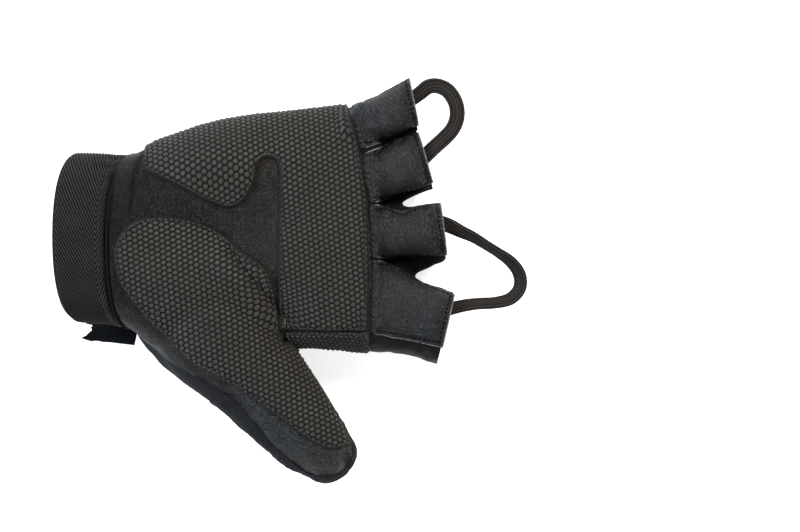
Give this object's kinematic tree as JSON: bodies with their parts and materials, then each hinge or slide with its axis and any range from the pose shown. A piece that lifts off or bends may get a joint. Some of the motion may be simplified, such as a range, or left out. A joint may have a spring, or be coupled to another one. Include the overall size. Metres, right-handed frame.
{
  "type": "half-finger sailing glove",
  "caption": "Right half-finger sailing glove lying palm up, with dotted grip patches, a closed thumb, leather finger stalls, elastic pull loops and a strapped elastic cuff.",
  "frame": {"origin": "a point on the flat outer face of the back of the hand, under the middle of the palm", "axes": "+X from the wrist to the fingers, +Y towards the little finger, +Z out of the palm"},
  "size_m": [0.1818, 0.1598, 0.0468],
  "materials": {
    "amara": "matt synthetic leather",
    "leather": "soft satin grain",
    "grip": "embossed with small raised dots",
    "knit": "matt stretch knit",
    "elastic": "ribbed elastic webbing",
    "hook_loop": "napped webbing with hook and loop",
    "cord": "braided elastic"
  },
  "bodies": {
    "palm": {"palm_panel": "amara", "back_panel": "knit", "palm_grip_patch": "grip", "thenar_grip_patch": "grip", "cuff_band": "elastic", "cuff_welt": "leather", "strap_sewn_end": "hook_loop", "loop_pad": "hook_loop"},
    "thumb": {"thumb_palm_panel": "amara", "thumb_back_panel": "knit", "thumb_grip_patch": "grip", "thumb_tip_cap": "leather"},
    "closure_strap": {"closure_strap": "hook_loop", "hook_pad": "hook_loop"},
    "little_ring_loop": {"little_ring_pull_loop": "cord"},
    "middle_index_loop": {"middle_index_pull_loop": "cord"},
    "little_finger": {"little_finger_palm_leather": "leather", "little_finger_back_panel": "knit", "little_finger_outer_gusset": "knit", "little_finger_inner_gusset": "knit"},
    "ring_finger": {"ring_finger_palm_leather": "leather", "ring_finger_back_panel": "knit", "ring_finger_outer_gusset": "knit", "ring_finger_inner_gusset": "knit"},
    "middle_finger": {"middle_finger_palm_leather": "leather", "middle_finger_back_panel": "knit", "middle_finger_outer_gusset": "knit", "middle_finger_inner_gusset": "knit"},
    "index_finger": {"index_finger_palm_leather": "leather", "index_finger_back_panel": "knit", "index_finger_outer_gusset": "knit", "index_finger_inner_gusset": "knit"}
  },
  "joints": [
    {"name": "ring_flex", "type": "hinge", "parent": "palm", "child": "ring_finger", "pos_m": [0.0446, 0.0234, 0.025], "axis": [0.2066, -0.9784, 0], "range_deg": [0, 60]},
    {"name": "little_flex", "type": "hinge", "parent": "palm", "child": "little_finger", "pos_m": [0.0404, 0.0433, 0.025], "axis": [0.2066, -0.9784, 0], "range_deg": [0, 60]},
    {"name": "middle_flex", "type": "hinge", "parent": "palm", "child": "middle_finger", "pos_m": [0.0487, 0.003, 0.025], "axis": [0, -1, 0], "range_deg": [0, 60]},
    {"name": "index_flex", "type": "hinge", "parent": "palm", "child": "index_finger", "pos_m": [0.0487, -0.026, 0.025], "axis": [0, -1, 0], "range_deg": [0, 60]},
    {"name": "thumb_flex", "type": "hinge", "parent": "palm", "child": "thumb", "pos_m": [0.0015, -0.0532, 0.03], "axis": [-0.7549, -0.6559, 0], "range_deg": [0, 50]},
    {"name": "strap_peel", "type": "hinge", "parent": "palm", "child": "closure_strap", "pos_m": [-0.048, 0.0146, 0.0044], "axis": [1, 0, 0], "range_deg": [0, 130]},
    {"name": "little_ring_loop_swing", "type": "hinge", "parent": "ring_finger", "child": "little_ring_loop", "pos_m": [0.0638, 0.0549, 0.0223], "axis": [0.229, -0.9734, 0], "range_deg": [-30, 30], "stiffness_Nm_per_rad": 0.03},
    {"name": "middle_index_loop_swing", "type": "hinge", "parent": "middle_finger", "child": "middle_index_loop", "pos_m": [0.0757, 0.0064, 0.0218], "axis": [0.1154, -0.9917, -0.0561], "range_deg": [-30, 30], "stiffness_Nm_per_rad": 0.03}
  ],
  "couplings": [
    {"joint": "little_flex", "follows": "ring_flex", "ratio": 1},
    {"joint": "index_flex", "follows": "middle_flex", "ratio": 1}
  ]
}
